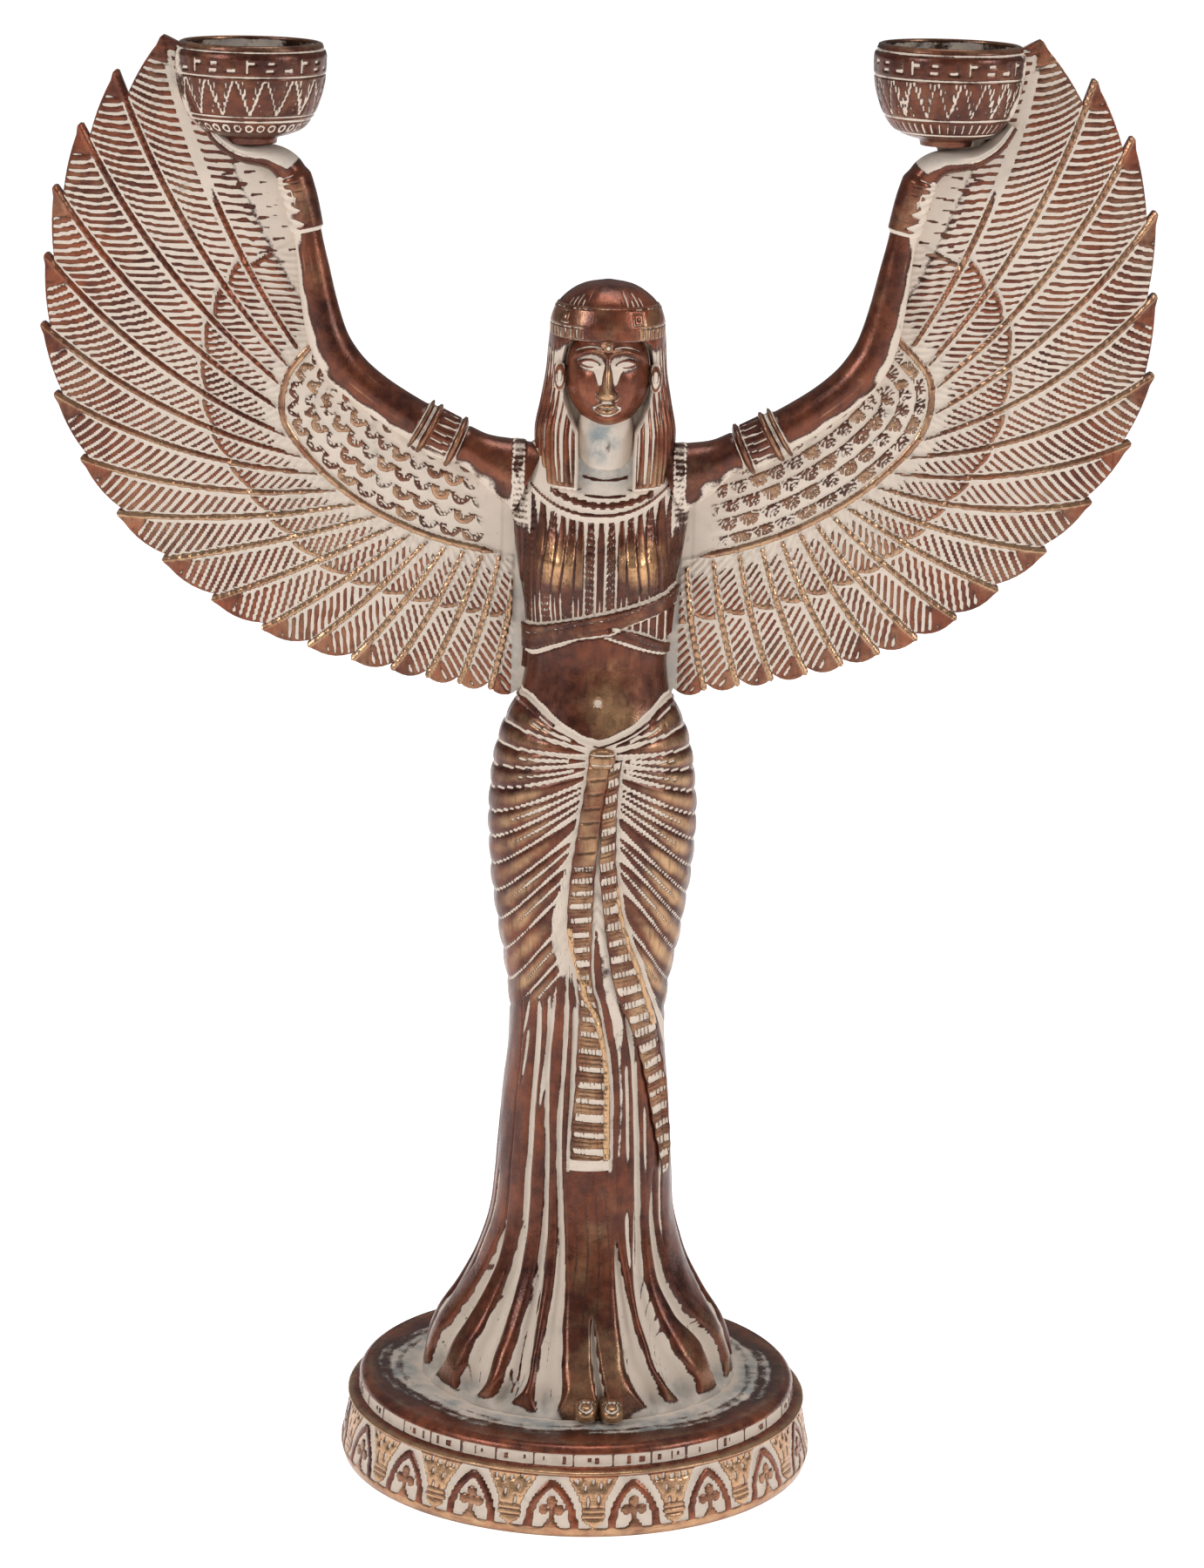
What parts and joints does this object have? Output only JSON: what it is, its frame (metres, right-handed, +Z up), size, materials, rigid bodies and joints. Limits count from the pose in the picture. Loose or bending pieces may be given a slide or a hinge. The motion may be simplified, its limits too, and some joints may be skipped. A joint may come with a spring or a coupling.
{
  "type": "winged isis statue candle holder",
  "caption": "Cast brass statue of a winged goddess on a round base, holding a candle cup on each raised hand.",
  "frame": {"origin": "centre of the round base's underside", "axes": "+Z up, the figure faces -Y, +X to the viewer's right"},
  "size_m": [0.3478, 0.154, 0.4632],
  "materials": {
    "figure_brass": "brown patina, rubbed golden on the high parts",
    "wing_brass": "brown ribs over cream patina in the grooves",
    "base_brass": "golden relief over cream patina",
    "cup_brass": "dark brown patina with cream in the incised lines"
  },
  "bodies": {
    "root": {"winged_figure": "figure_brass", "left_wing": "wing_brass", "right_wing": "wing_brass", "round_base": "base_brass", "left_candle_cup": "cup_brass", "right_candle_cup": "cup_brass"}
  },
  "joints": []
}
